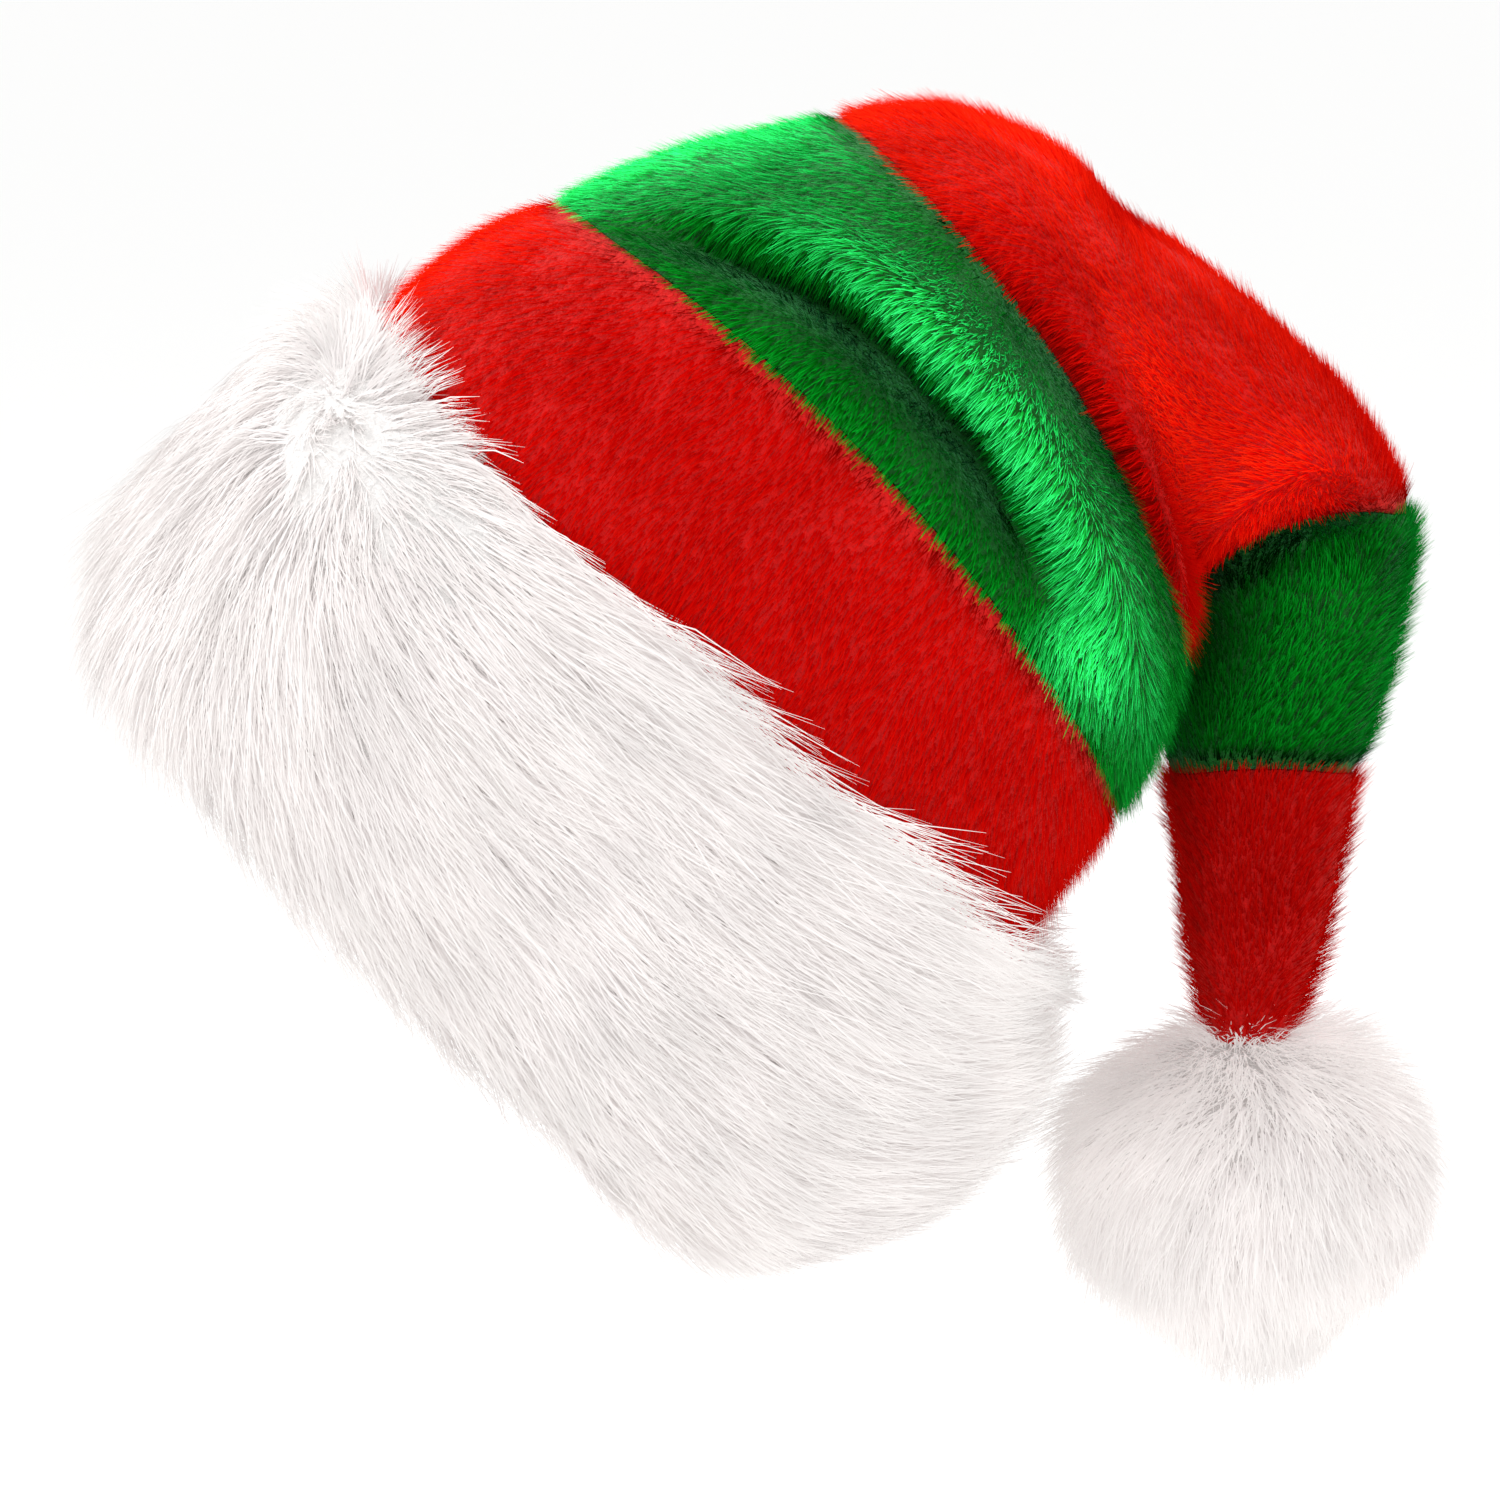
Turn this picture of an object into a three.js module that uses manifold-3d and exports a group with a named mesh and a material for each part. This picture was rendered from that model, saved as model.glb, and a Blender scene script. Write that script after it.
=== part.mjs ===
// A plush Christmas hat: a crown sewn from red and green bands that leans to one side and folds over into
// a hanging tail, a long-haired white fur cuff round the head opening, and a white fur pompom on the tail.
// Millimetres, +Z up as the hat is worn. The origin is the centre of the head opening. The hat leans
// towards +X, its front faces -Y, and the tail hangs straight down on the +X side.
import * as THREE from "three";
import { mergeVertices } from "three/addons/utils/BufferGeometryUtils.js";
import Module from "manifold-3d";

const wasm = await Module();
wasm.setup();

// Head opening and cloth
const headWidth = 195; // inside of the opening, across the lean
const headDepth = 180; // inside of the opening, front to back
const leanAngle = 46; // degrees from upright to the hat's own axis
const wall = 3; // plush cloth: its backing and the packed foot of its pile
const seamGap = 0.3; // between two bands, and between any two pieces that touch

// Crown and tail
const crownHeight = 197; // along the hat's axis, from the opening to the crease where the tail turns down
const creaseOffset = 65; // from the hat's axis to that crease
const crownDepth = 210; // front to back at its fullest
const tailDrop = 125; // from the crease straight down to the tail's tip
const tailWidth = 47; // across, at the seam between the tail's two bands
const tailDepth = 54; // front to back, at the same seam
const tipRound = 6; // how far the tail's closed tip bulges below its last section

// Cuff
const cuffHeight = 98; // along the hat's axis, from the opening to the upper edge of the packed fur
const cuffLoft = 23; // thickness of the packed fur outside the cloth
const cuffOverhang = 2.5; // packed fur below the opening's edge
const cuffLockLength = 46;
const cuffLockWidth = 25;
const cuffLockLift = 5; // how far a lock stands off the packed fur
const cuffLockRows = 4;
const cuffLocksPerRow = 17;

// Pompom
const pompomWidth = 90; // the packed ball, without its locks
const pompomHeight = 77;
const pompomLockLength = 36;
const pompomLockWidth = 22;
const pompomLockLift = 4.5;
const pompomLockRows = 4;
const pompomLocksPerRow = 10;
const socketDepth = 10; // how far the tail's tip sits in the ball

const roundSteps = 32; // sides of each section of the crown and tail
const frontFlatness = 0.1; // how much flatter than an ellipse a section's front and back are

const whiteFur = new THREE.MeshStandardMaterial({ color: 0xf3eeec, roughness: 0.95, metalness: 0 });
const redPlush = new THREE.MeshStandardMaterial({ color: 0xc80a06, roughness: 0.8, metalness: 0 });
const greenPlush = new THREE.MeshStandardMaterial({ color: 0x0c7a2e, roughness: 0.75, metalness: 0 });

// The hat's own directions in the plane of the lean: up its axis, and across the opening
const lean = THREE.MathUtils.degToRad(leanAngle);
const axis = new THREE.Vector3(Math.sin(lean), 0, Math.cos(lean));
const across = new THREE.Vector3(Math.cos(lean), 0, -Math.sin(lean));
const front = new THREE.Vector3(0, -1, 0);
const down = new THREE.Vector3(0, 0, -1);
const right = new THREE.Vector3(1, 0, 0);

// A section of the crown runs from its outer edge, on the side away from the tail, to its inner edge.
// outer and inner: [share of headWidth across, share of crownHeight up the axis]
// depth: share of crownDepth. bow: how far its front stands up the hat, and slump: how far its front
// slides towards the crease, both shares of crownHeight.
const edge = 0.5 + wall / headWidth;
const cuffTop = cuffHeight / crownHeight;
const rimDepth = (headDepth + 2 * wall) / crownDepth;
const crownRows = [
  { outer: [-edge, 0], inner: [edge, 0], depth: rimDepth, bow: 0, slump: 0 }, // head opening
  { outer: [-0.55, cuffTop / 2], inner: [0.565, cuffTop / 2], depth: 0.95, bow: 0, slump: 0 },
  { outer: [-0.598, cuffTop], inner: [0.53, cuffTop], depth: 0.99, bow: 0, slump: 0 }, // cuff's upper edge
  { outer: [-0.593, 0.64], inner: [0.515, 0.626], depth: 1.0, bow: 0.055, slump: 0 },
  { outer: [-0.548, 0.76], inner: [0.495, 0.731], depth: 0.98, bow: 0.093, slump: 0 }, // first red to green
  { outer: [-0.507, 0.869], inner: [0.475, 0.8], depth: 0.94, bow: 0.1, slump: 0 },
  { outer: [-0.444, 0.977], inner: [0.44, 0.868], depth: 0.9, bow: 0.09, slump: 0 },
  { outer: [-0.374, 1.087], inner: [0.403, 0.929], depth: 0.83, bow: 0.075, slump: 0 }, // green to red
  { outer: [-0.29, 1.187], inner: [0.37, 0.965], depth: 0.77, bow: 0.05, slump: 0.01 },
  { outer: [-0.177, 1.24], inner: [0.347, 0.982], depth: 0.72, bow: 0.02, slump: 0.02 },
  { outer: [-0.059, 1.268], inner: [0.336, 0.993], depth: 0.67, bow: 0, slump: 0.02 },
  { outer: [0.119, 1.284], inner: [0.334, 1.002], depth: 0.62, bow: -0.02, slump: 0.02 },
  { outer: [0.344, 1.294], inner: [0.34, 1.006], depth: 0.55, bow: -0.04, slump: 0.01 },
];

// A section of the tail hangs from the crease.
// left: share of tailWidth from the crease to its inner edge. width: share of tailWidth.
// drop: how far its inner edge lies below the crease, and rise: how far its outer edge stands above the
// inner one, both shares of tailDrop. depth: share of tailDepth.
// bow: how far its front stands down the tail, and slump: how far it slides left, shares of tailDrop.
const tailRows = [
  { left: 0.06, drop: 0.026, width: 1.154, rise: 0.128, depth: 0.84, bow: -0.075, slump: 0 }, // to green
  { left: 0.048, drop: 0.121, width: 1.133, rise: 0.069, depth: 0.64, bow: -0.03, slump: 0 },
  { left: -0.037, drop: 0.258, width: 1.122, rise: 0.045, depth: 0.58, bow: -0.02, slump: 0 },
  { left: -0.069, drop: 0.42, width: 1.005, rise: 0, depth: 0.5, bow: -0.028, slump: 0 }, // to the last red
  { left: 0, drop: 0.6, width: 0.846, rise: 0, depth: 0.45, bow: 0, slump: 0 },
  { left: 0.053, drop: 0.762, width: 0.697, rise: 0, depth: 0.39, bow: 0, slump: 0 },
  { left: 0.154, drop: 0.952, width: 0.441, rise: 0, depth: 0.28, bow: 0, slump: 0 },
];

// Folds pressed into the cloth, or pushed out of it where depth is negative.
// at: the rows where the fold's middle line starts, passes half way and ends.
// from, to: the angles between which it runs, in degrees from the outer edge, 90 at the front, 270 at the
// back, and below 0 for a fold that crosses the outer edge.
// depth: share of crownDepth. width: in rows. fade: the share of its run that it takes to appear.
const folds = [
  { at: [4.15, 5.1, 4.6], from: 16, to: 124, depth: 0.075, width: 0.36, fade: 0.3 }, // slump fold, green
  { at: [5.0, 6.0, 4.7], from: 20, to: 165, depth: -0.035, width: 0.55, fade: 0.4 }, // the roll above it
  { at: [6.95, 7.1, 7.05], from: 45, to: 172, depth: 0.06, width: 0.36, fade: 0.5 }, // between roll and lobe
  { at: [10, 10, 10], from: -48, to: 48, depth: 0.03, width: 0.5, fade: 0.5 }, // dip in the top of the lobe
  { at: [12.3, 12.3, 12.3], from: 20, to: 150, depth: -0.03, width: 0.5, fade: 0.4 }, // lobe's lower edge
  { at: [13.3, 13.35, 13.4], from: 25, to: 140, depth: 0.03, width: 0.35, fade: 0.4 }, // under the lobe
  { at: [5.0, 5.4, 5.9], from: 205, to: 330, depth: 0.05, width: 0.5, fade: 0.4 }, // slump fold, back
  { at: [7.7, 7.9, 7.6], from: 195, to: 320, depth: 0.045, width: 0.5, fade: 0.4 },
];

// Row numbers where the bands meet
const firstGreenRow = 4;
const secondRedRow = 7;
const tailRow = crownRows.length;
const lastRedRow = tailRow + 3;
const lastRow = crownRows.length + tailRows.length - 1;
const cuffTopRow = 2;

const along = (start, ...steps) =>
  steps.reduce((p, [direction, length]) => p.addScaledVector(direction, length), start.clone());
const origin = new THREE.Vector3();
const crease = along(origin, [across, creaseOffset], [axis, crownHeight]);

function edgesOf(row) {
  if ("outer" in row) {
    const place = ([a, u]) => along(origin, [across, a * headWidth], [axis, u * crownHeight]);
    return [place(row.outer), place(row.inner)];
  }
  const inner = along(crease, [right, row.left * tailWidth], [down, row.drop * tailDrop]);
  const outer = along(inner, [right, row.width * tailWidth], [down, -row.rise * tailDrop]);
  return [outer, inner];
}

const rows = [...crownRows, ...tailRows];
const splineOf = (points) => new THREE.CatmullRomCurve3(points, false, "centripetal");
const outerEdge = splineOf(rows.map((row) => edgesOf(row)[0]));
const innerEdge = splineOf(rows.map((row) => edgesOf(row)[1]));
// Half depth, bow and slump of each row, in millimetres, as one smooth curve
const shapeCurve = splineOf(
  rows.map((row, i) =>
    i < crownRows.length
      ? new THREE.Vector3((row.depth * crownDepth) / 2, row.bow * crownHeight, row.slump * crownHeight)
      : new THREE.Vector3(row.depth * tailDepth, row.bow * tailDrop, row.slump * tailDrop),
  ),
);

const smooth = (t) => THREE.MathUtils.smoothstep(t, 0, 1);

// How far the folds press the cloth in at a row and an angle
function foldDepth(row, degrees) {
  let pressed = 0;
  for (const { at, from, to, depth, width, fade } of folds) {
    const share = ((degrees - from) % 360) / (to - from);
    if (share <= 0 || share >= 1) continue;
    const startPart = at[0] * (1 - share) * (1 - 2 * share);
    const middle = startPart + at[1] * 4 * share * (1 - share) + at[2] * share * (2 * share - 1);
    const strength = smooth(share / fade) * smooth((1 - share) / fade);
    pressed += depth * crownDepth * strength * Math.exp(-(((row - middle) / width) ** 2));
  }
  return pressed;
}

// A point of the cloth's outer face. row runs from 0 at the opening to lastRow at the tip.
function clothPoint(row, degrees) {
  const share = THREE.MathUtils.clamp(row / lastRow, 0, 1);
  const outer = outerEdge.getPoint(share);
  const inner = innerEdge.getPoint(share);
  const shape = shapeCurve.getPoint(share);
  const angle = THREE.MathUtils.degToRad(degrees);
  const half = outer.distanceTo(inner) / 2;
  const outward = outer.clone().sub(inner).normalize();
  const onward = outward.clone().cross(front).normalize();
  const frontness = Math.max(0, Math.sin(angle)) ** 1.4;
  const frontShare = (Math.sin(angle) + frontFlatness * Math.sin(3 * angle)) / (1 - frontFlatness);
  const radial = along(origin, [outward, Math.cos(angle)], [front, Math.sin(angle)]);
  return along(
    outer.clone().add(inner).multiplyScalar(0.5),
    [outward, half * Math.cos(angle) - shape.z * frontness],
    [front, shape.x * frontShare],
    [onward, shape.y * frontness],
    [radial, -foldDepth(row, ((degrees % 360) + 360) % 360)],
  );
}

// The direction up the cloth, and the cloth's outward direction
function clothDirections(row, degrees) {
  const step = 0.02;
  const up = clothPoint(Math.min(row + step, lastRow), degrees)
    .sub(clothPoint(Math.max(row - step, 0), degrees))
    .normalize();
  const round = clothPoint(row, degrees + 1).sub(clothPoint(row, degrees - 1)).normalize();
  return { up, out: up.clone().cross(round).normalize().negate() };
}

// A closed body from rings of points. Each ring has as many points, and the ring of rings may close too.
function bodyOfRings(rings, { closed, startPole, endPole }) {
  const count = rings[0].length;
  const points = rings.flat();
  const triangles = [];
  const corner = (ring, step) => (ring % rings.length) * count + (step % count);
  const spans = closed ? rings.length : rings.length - 1;
  for (let ring = 0; ring < spans; ring++) {
    for (let step = 0; step < count; step++) {
      const [a, b] = [corner(ring, step), corner(ring, step + 1)];
      const [c, d] = [corner(ring + 1, step + 1), corner(ring + 1, step)];
      // The second half runs back along the first, and its quads are cut along the same diagonals
      if (closed && ring >= rings.length / 2) triangles.push(a, b, d, b, c, d);
      else triangles.push(a, b, c, a, c, d);
    }
  }
  const fan = (pole, ring, flip) => {
    const tip = points.push(pole) - 1;
    for (let step = 0; step < count; step++) {
      const [a, b] = [corner(ring, step), corner(ring, step + 1)];
      triangles.push(tip, ...(flip ? [b, a] : [a, b]));
    }
  };
  if (startPole) fan(startPole, 0, true);
  if (endPole) fan(endPole, rings.length - 1, false);
  const geometry = new THREE.BufferGeometry().setFromPoints(points);
  geometry.setIndex(triangles);
  return geometry;
}

// The same body with its faces pointing out
function facingOut(geometry) {
  const place = geometry.getAttribute("position");
  const index = geometry.getIndex().array;
  const [a, b, c] = [new THREE.Vector3(), new THREE.Vector3(), new THREE.Vector3()];
  let volume = 0;
  for (let i = 0; i < index.length; i += 3) {
    a.fromBufferAttribute(place, index[i]);
    b.fromBufferAttribute(place, index[i + 1]);
    c.fromBufferAttribute(place, index[i + 2]);
    volume += a.dot(b.cross(c));
  }
  if (volume >= 0) return geometry;
  for (let i = 0; i < index.length; i += 3) [index[i], index[i + 1]] = [index[i + 1], index[i]];
  return geometry;
}

function toSolid(geometry) {
  const merged = mergeVertices(geometry, 1e-4);
  return new wasm.Manifold(
    new wasm.Mesh({
      numProp: 3,
      vertProperties: new Float32Array(merged.getAttribute("position").array),
      triVerts: new Uint32Array(merged.getIndex().array),
    }),
  );
}

function fromSolid(solid) {
  const { vertProperties, triVerts } = solid.getMesh();
  const geometry = new THREE.BufferGeometry();
  geometry.setAttribute("position", new THREE.BufferAttribute(vertProperties, 3));
  geometry.setIndex(new THREE.BufferAttribute(outerShell(triVerts, vertProperties.length / 3), 1));
  return geometry;
}

// The triangles of the largest connected shell, without the closed pockets that crossing locks leave
function outerShell(triangles, vertexCount) {
  const shellOf = Array.from({ length: vertexCount }, (_, i) => i);
  const find = (i) => {
    while (shellOf[i] !== i) i = shellOf[i] = shellOf[shellOf[i]];
    return i;
  };
  for (let i = 0; i < triangles.length; i += 3) {
    shellOf[find(triangles[i + 1])] = find(triangles[i]);
    shellOf[find(triangles[i + 2])] = find(triangles[i]);
  }
  const sizes = new Map();
  for (const corner of triangles) sizes.set(find(corner), (sizes.get(find(corner)) ?? 0) + 1);
  const largest = [...sizes].reduce((a, b) => (b[1] > a[1] ? b : a))[0];
  return triangles.filter((_, i) => find(triangles[i - (i % 3)]) === largest);
}

const angles = (steps) => Array.from({ length: steps }, (_, i) => (i * 360) / steps);

// One ring of a cloth band: shifted up or down the cloth at a seam, and sunk by the wall for the inner face
function clothRing(row, steps, sink, shift) {
  return angles(steps).map((degrees) => {
    const { up, out } = clothDirections(row, degrees);
    return along(clothPoint(row, degrees), [out, -sink], [up, shift]);
  });
}

const middleOf = (ring) =>
  ring.reduce((sum, p) => sum.add(p), new THREE.Vector3()).divideScalar(ring.length);

// Evenly spaced rows from one to another
const stations = (from, to, count) =>
  Array.from({ length: count + 1 }, (_, i) => THREE.MathUtils.lerp(from, to, i / count));

// The rows of the first band that the cuff hides and those above it
const underCuff = stations(0, cuffTopRow, 2);
const aboveCuff = stations(cuffTopRow, firstGreenRow, 4).slice(1);

// A band of the crown or tail as a hollow wall through the given rows
function bandGeometry(bandRows, { closedTip = false } = {}) {
  const rings = (sink) =>
    bandRows.map((row, i) => {
      const atStart = i === 0 && row > 0;
      const atEnd = i === bandRows.length - 1 && !closedTip;
      return clothRing(row, roundSteps, sink, atStart ? seamGap / 2 : atEnd ? -seamGap / 2 : 0);
    });
  const outside = rings(0);
  const inside = rings(wall);
  if (!closedTip) return facingOut(bodyOfRings([...outside, ...inside.reverse()], { closed: true }));
  const tip = along(middleOf(outside.at(-1)), [down, tipRound]);
  const hollowEnd = along(middleOf(inside.at(-1)), [down, tipRound - wall]);
  const wallRings = [...outside.reverse(), ...inside];
  return facingOut(bodyOfRings(wallRings, { closed: false, startPole: tip, endPole: hollowEnd }));
}

// A place on a surface given by two numbers, with its outward direction and its two tangents
function frameAt(surface, u, v) {
  const step = 1e-3;
  const place = surface(u, v);
  const alongU = surface(u + step, v).sub(surface(u - step, v)).divideScalar(2 * step);
  const alongV = surface(u, v + step).sub(surface(u, v - step)).divideScalar(2 * step);
  return { place, alongU, alongV, out: alongU.clone().cross(alongV).normalize() };
}

// How far the surface's two numbers change along a tangent direction, for each millimetre
function stepAlong({ alongU, alongV }, direction) {
  const [uu, uv, vv] = [alongU.dot(alongU), alongU.dot(alongV), alongV.dot(alongV)];
  const [cu, cv] = [direction.dot(alongU), direction.dot(alongV)];
  const area = uu * vv - uv * uv;
  return [(cu * vv - cv * uv) / area, (cv * uu - cu * uv) / area];
}

// One lock of fur that follows a surface in the direction of its comb. It is a pointed wedge whose root
// is sunk in the packed fur, and whose back stands off it by the lift.
function lockSolid(surface, start, combOf, { length, width, lift }) {
  const steps = 3;
  let [u, v] = start;
  const spine = [];
  for (let i = 0; i <= steps; i++) {
    const frame = frameAt(surface, u, v);
    const { place, out } = frame;
    const comb = combOf(place);
    comb.addScaledVector(out, -comb.dot(out)).normalize();
    const sideStep = stepAlong(frame, comb.clone().cross(out));
    const besides = (reach) => surface(spine[i].u + reach * sideStep[0], spine[i].v + reach * sideStep[1]);
    spine.push({ u, v, place, out, besides });
    const [du, dv] = stepAlong(frame, comb);
    u += (du * length) / steps;
    v += (dv * length) / steps;
  }
  const ring = ({ place, out, besides }, half, rise, sink) => [
    along(besides(-half), [out, -sink]),
    along(place, [out, rise]),
    along(besides(half), [out, -sink]),
  ];
  const rings = [
    ring(spine[1], width * 0.5, lift * 0.85, lift * 0.35),
    ring(spine[2], width * 0.4, lift * 1.15, 0),
  ];
  const startPole = along(spine[0].place, [spine[0].out, -lift / 2]);
  const endPole = along(spine[3].place, [spine[3].out, lift]);
  return toSolid(facingOut(bodyOfRings(rings, { closed: false, startPole, endPole })));
}

// The cuff's outer face in section, from its upper edge to its underside.
// up: share of the way up the cloth under it, where 1 is the cuff's upper edge. out: share of cuffLoft.
const cuffProfile = [
  { up: 0.97, out: 0.34 },
  { up: 0.88, out: 0.72 },
  { up: 0.7, out: 0.98 },
  { up: 0.45, out: 1.07 },
  { up: 0.22, out: 1.03 },
  { up: 0.06, out: 0.8 },
  { up: -0.02, out: 0.48 },
];
const cuffCurve = splineOf(cuffProfile.map(({ up, out }) => new THREE.Vector3(up, out, 0)));

// A place round the cuff: its share of the way up the cloth, and millimetres out from the cloth
function cuffPoint(height, out, degrees) {
  const onCloth = Math.max(height, 0);
  const directions = clothDirections(onCloth * cuffTopRow, degrees);
  const place = clothPoint(onCloth * cuffTopRow, degrees);
  return along(place, [directions.out, out], [directions.up, (height - onCloth) * cuffHeight]);
}

// The cuff's outer face, from 0 at its upper edge to 1 at its underside, and straight on past both
function cuffFace(share, degrees) {
  const end = THREE.MathUtils.clamp(share, 0, 1);
  const { x, y } = cuffCurve.getPoint(end);
  return cuffPoint(x - (share - end), y * cuffLoft, degrees);
}

// Which way the cuff's fur is combed: along the cuff towards the tail's side, flaring to both its edges,
// and straight down the hat at the end away from the tail
function cuffComb(place) {
  const height = place.dot(axis) / cuffHeight;
  const reach = place.dot(across) / headWidth;
  const farEnd = 1 - THREE.MathUtils.smoothstep(reach, -0.62, -0.3);
  const flow = along(origin, [across, 1], [axis, (height - 0.45) * 0.9]);
  return flow.lerp(along(origin, [axis, -1], [across, -0.25]), farEnd);
}

// 1 at the end of the cuff on the tail's side, where the fur stands off it most, and 0 away from it
const nearTail = (degrees) =>
  THREE.MathUtils.smoothstep(-Math.cos(THREE.MathUtils.degToRad(degrees)), 0.5, 0.9);

// A number from 0 to 1 that differs from lock to lock and is the same at each run
const scatter = (index, salt) => {
  const mixed = Math.sin(index * 127.1 + salt * 311.7) * 43758.5453;
  return mixed - Math.floor(mixed);
};

function cuffGeometry() {
  const wallSide = underCuff.map((row) => ({ height: row / cuffTopRow, out: seamGap }));
  const outside = cuffProfile.map(({ up, out }) => ({ height: up, out: out * cuffLoft }));
  const rimEdge = -seamGap / cuffHeight;
  const foot = [
    { height: rimEdge - cuffOverhang / cuffHeight, out: cuffLoft * 0.25 },
    { height: -cuffOverhang / cuffHeight, out: -wall * 0.6 },
    { height: rimEdge, out: -wall },
    { height: rimEdge, out: seamGap },
  ];
  const section = [...wallSide, ...outside, ...foot];
  const ring = ({ height, out }) => angles(roundSteps).map((degrees) => cuffPoint(height, out, degrees));
  let cuff = toSolid(facingOut(bodyOfRings(section.map(ring), { closed: true })));
  for (let row = 0; row < cuffLockRows; row++) {
    for (let i = 0; i < cuffLocksPerRow; i++) {
      const index = 200 + row * cuffLocksPerRow + i;
      const share = (0.85 * (row + 0.1 + 0.4 * scatter(index, 1))) / cuffLockRows;
      const degrees = ((i + 0.5 * (row % 2) + 0.5 * scatter(index, 2)) * 360) / cuffLocksPerRow;
      const lock = {
        length: cuffLockLength * (1 - 0.3 * share) * (0.8 + 0.4 * scatter(index, 3)),
        width: cuffLockWidth * (0.8 + 0.4 * scatter(index, 4)),
        lift: cuffLockLift * (0.7 + 0.6 * scatter(index, 5)) * (1 + nearTail(degrees) / 2),
      };
      cuff = cuff.add(lockSolid(cuffFace, [share, degrees], cuffComb, lock));
    }
  }
  return fromSolid(cuff);
}

// The tail's tip, grown by a clearance, that the pompom is cut clear of
function tailPlug(clearance) {
  const count = 4;
  const rings = Array.from({ length: count + 1 }, (_, i) =>
    clothRing(THREE.MathUtils.lerp(lastRedRow + 1, lastRow, i / count), roundSteps, -clearance, 0),
  );
  const startPole = middleOf(rings[0]);
  const endPole = along(middleOf(rings[count]), [down, tipRound + clearance]);
  return toSolid(facingOut(bodyOfRings(rings, { closed: false, startPole, endPole })));
}

function pompomGeometry() {
  const tip = middleOf([clothPoint(lastRow, 0), clothPoint(lastRow, 180)]);
  const centre = along(tip, [down, tipRound - socketDepth + pompomHeight / 2]);
  const size = new THREE.Vector3(pompomWidth / 2, pompomWidth / 2, pompomHeight / 2);
  const ballFace = (polar, turn) => {
    const direction = new THREE.Vector3(
      Math.sin(polar) * Math.cos(turn),
      Math.sin(polar) * Math.sin(turn),
      Math.cos(polar),
    );
    return direction.multiply(size).add(centre);
  };
  const ball = new THREE.SphereGeometry(1, 18, 11).rotateX(Math.PI / 2);
  ball.deleteAttribute("normal");
  ball.deleteAttribute("uv");
  ball.scale(size.x, size.y, size.z).translate(centre.x, centre.y, centre.z);
  let pompom = toSolid(facingOut(mergeVertices(ball, 1e-3)));
  for (let row = 0; row < pompomLockRows; row++) {
    for (let i = 0; i < pompomLocksPerRow; i++) {
      const index = 600 + row * pompomLocksPerRow + i;
      const fromTop = 28 + (row * 118) / (pompomLockRows - 1) + 8 * scatter(index, 1);
      const polar = THREE.MathUtils.degToRad(fromTop);
      const turn = ((i + 0.5 * (row % 2) + 0.4 * scatter(index, 2)) * 2 * Math.PI) / pompomLocksPerRow;
      const lock = {
        length: pompomLockLength * (0.8 + 0.4 * scatter(index, 3)),
        width: pompomLockWidth * (0.8 + 0.4 * scatter(index, 4)),
        lift: pompomLockLift * (0.7 + 0.6 * scatter(index, 5)),
      };
      pompom = pompom.add(lockSolid(ballFace, [polar, turn], () => down.clone(), lock));
    }
  }
  return fromSolid(pompom.subtract(tailPlug(seamGap)));
}

const pieces = [
  ["crown_band_1_red", bandGeometry(underCuff.concat(aboveCuff)), redPlush],
  ["crown_band_2_green", bandGeometry(stations(firstGreenRow, secondRedRow, 8)), greenPlush],
  ["crown_band_3_red", bandGeometry(stations(secondRedRow, tailRow, 11)), redPlush],
  ["tail_band_4_green", bandGeometry(stations(tailRow, lastRedRow, 6)), greenPlush],
  ["tail_band_5_red", bandGeometry(stations(lastRedRow, lastRow, 3), { closedTip: true }), redPlush],
  ["fur_cuff", cuffGeometry(), whiteFur],
  ["pompom", pompomGeometry(), whiteFur],
];

const hat = new THREE.Group();
hat.name = "christmas_hat";
for (const [name, geometry, material] of pieces) {
  const piece = new THREE.Mesh(geometry, material);
  piece.name = name;
  hat.add(piece);
}

export default hat;
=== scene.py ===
import math

import bpy
import numpy as np
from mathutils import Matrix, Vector


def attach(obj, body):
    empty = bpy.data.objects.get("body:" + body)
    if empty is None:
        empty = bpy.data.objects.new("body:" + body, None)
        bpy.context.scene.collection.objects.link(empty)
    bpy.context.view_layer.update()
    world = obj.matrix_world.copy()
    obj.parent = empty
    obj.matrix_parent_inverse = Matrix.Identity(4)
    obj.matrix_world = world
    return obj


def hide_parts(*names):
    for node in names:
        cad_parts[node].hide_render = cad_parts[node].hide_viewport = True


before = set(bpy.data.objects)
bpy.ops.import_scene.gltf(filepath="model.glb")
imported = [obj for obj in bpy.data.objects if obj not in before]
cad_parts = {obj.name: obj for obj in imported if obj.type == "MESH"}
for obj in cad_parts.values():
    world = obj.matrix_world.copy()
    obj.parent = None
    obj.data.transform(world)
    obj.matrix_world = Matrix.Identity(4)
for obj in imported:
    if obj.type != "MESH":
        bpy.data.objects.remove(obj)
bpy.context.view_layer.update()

mm = 0.001

# Sizes in metres, the lean in degrees
crown = {
    "headWidth": 195 * mm,  # the head opening, measured inside
    "headDepth": 180 * mm,
    "height": 197 * mm,
    "depth": 210 * mm,
    "creaseOffset": 65 * mm,  # from the crown's middle to the crease that the tail folds over
    "cuffHeight": 98 * mm,
    "wall": 3 * mm,
    "lean": 46,
    "frontFlatness": 0.1,
    "frontPower": 1.4,  # how closely the bow and the slump keep to the front
}
tail = {"drop": 125 * mm, "width": 47 * mm, "depth": 54 * mm, "tipRound": 6 * mm}

lean = math.radians(crown["lean"])
axis = np.array([math.sin(lean), 0, math.cos(lean)])
across = np.array([math.cos(lean), 0, -math.sin(lean)])
front = np.array([0.0, -1, 0])
down = np.array([0.0, 0, -1])
right = np.array([1.0, 0, 0])

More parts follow.
